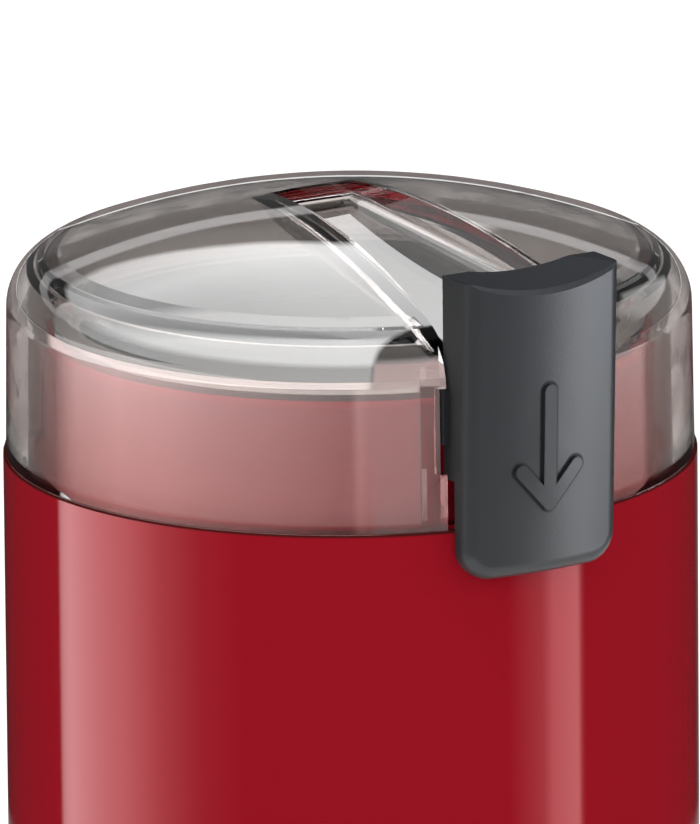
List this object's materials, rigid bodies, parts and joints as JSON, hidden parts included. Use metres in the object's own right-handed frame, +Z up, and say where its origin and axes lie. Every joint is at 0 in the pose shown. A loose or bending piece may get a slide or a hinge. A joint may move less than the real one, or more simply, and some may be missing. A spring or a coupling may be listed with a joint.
{
  "type": "electric spice grinder",
  "caption": "Hand-held-size electric spice and coffee grinder: cylindrical housing with steel bowl and blade, lift-off smoked lid that carries the sprung press button.",
  "frame": {"origin": "on the motor's axis, in the plane that the rubber feet rest on", "axes": "+Z up along the motor's axis; the button faces -Y, the cord's gland +Y"},
  "size_m": [0.086, 0.0921, 0.1817],
  "materials": {
    "red_plastic": "high gloss moulded",
    "smoked_plastic": "clear smoked, high gloss",
    "grey_plastic": "satin, fine spark texture",
    "bowl_steel": "stainless, drawn and brushed",
    "blade_steel": "stainless, ground edges",
    "shaft_steel": "ground",
    "lamination_steel": "stacked laminations",
    "copper_winding": "enamelled wire",
    "commutator_copper": "turned copper",
    "sintered_bronze": "sintered, oily",
    "spring_steel": "bright wire",
    "zinc_steel": "zinc plated",
    "black_rubber": "moulded, matt",
    "dark_moulding": "glass-filled moulding",
    "brass_sheet": "folded sheet",
    "carbon": "pressed carbon",
    "switch_plastic": "moulded",
    "switch_plunger_plastic": "moulded",
    "natural_plastic": "moulded, undyed",
    "base_plastic": "moulded, fine texture",
    "capacitor_plastic": "moulded box",
    "fuse_ceramic": "tinned case"
  },
  "bodies": {
    "base": {"base_plate": "base_plastic", "base_screws": "zinc_steel", "bowl": "bowl_steel", "bowl_gasket": "black_rubber", "brush_holder_front": "brass_sheet", "brush_holder_rear": "brass_sheet", "brush_springs": "spring_steel", "carbon_brush_front": "carbon", "carbon_brush_rear": "carbon", "carrier_screws": "zinc_steel", "cord_gland": "black_rubber", "field_coil_front": "copper_winding", "field_coil_rear": "copper_winding", "housing": "red_plastic", "lower_bush": "sintered_bronze", "lower_bush_clip": "spring_steel", "motor_bolts": "zinc_steel", "motor_bridge": "zinc_steel", "motor_carrier": "dark_moulding", "motor_end_frame": "dark_moulding", "rubber_dampers": "black_rubber", "rubber_feet": "black_rubber", "shaft_seal": "black_rubber", "slider_spring": "spring_steel", "stator_core": "lamination_steel", "suppression_capacitor": "capacitor_plastic", "switch_body": "switch_plastic", "switch_screws": "zinc_steel", "thermal_fuse": "fuse_ceramic", "thrust_washer": "spring_steel", "upper_bush": "sintered_bronze", "upper_bush_clip": "spring_steel"},
    "lid": {"lid": "smoked_plastic", "button_springs": "spring_steel"},
    "button": {"push_button": "grey_plastic"},
    "slider": {"switch_slider": "natural_plastic"},
    "plunger": {"switch_plunger": "switch_plunger_plastic"},
    "rotor": {"motor_shaft": "shaft_steel", "rotor_core": "lamination_steel", "rotor_windings": "copper_winding", "commutator": "commutator_copper", "shaft_ring": "spring_steel", "blade": "blade_steel", "blade_washer": "blade_steel", "blade_nut": "blade_steel"}
  },
  "joints": [
    {"name": "lid_lift", "type": "slide", "parent": "base", "child": "lid", "axis": [0, 0, 1], "range_m": [0, 0.06]},
    {"name": "button_press", "type": "slide", "parent": "lid", "child": "button", "axis": [0, 0, -1], "range_m": [0, 0.0035], "stiffness_N_per_m": 900, "springref_m": -0.002, "deforming": ["button_springs"]},
    {"name": "slider_press", "type": "slide", "parent": "base", "child": "slider", "axis": [0, 0, -1], "range_m": [0, 0.003], "stiffness_N_per_m": 300, "springref_m": -0.001, "deforming": ["slider_spring"]},
    {"name": "plunger_press", "type": "slide", "parent": "base", "child": "plunger", "axis": [0, 0, -1], "range_m": [0, 0.0028], "stiffness_N_per_m": 200, "springref_m": -0.0005},
    {"name": "rotor_spin", "type": "hinge", "parent": "base", "child": "rotor", "pos_m": [0, 0, 0.1], "axis": [0, 0, 1], "continuous": true}
  ],
  "couplings": [
    {"joint": "slider_press", "follows": "button_press", "ratio": 0.85714},
    {"joint": "plunger_press", "follows": "button_press", "ratio": 0.8}
  ]
}
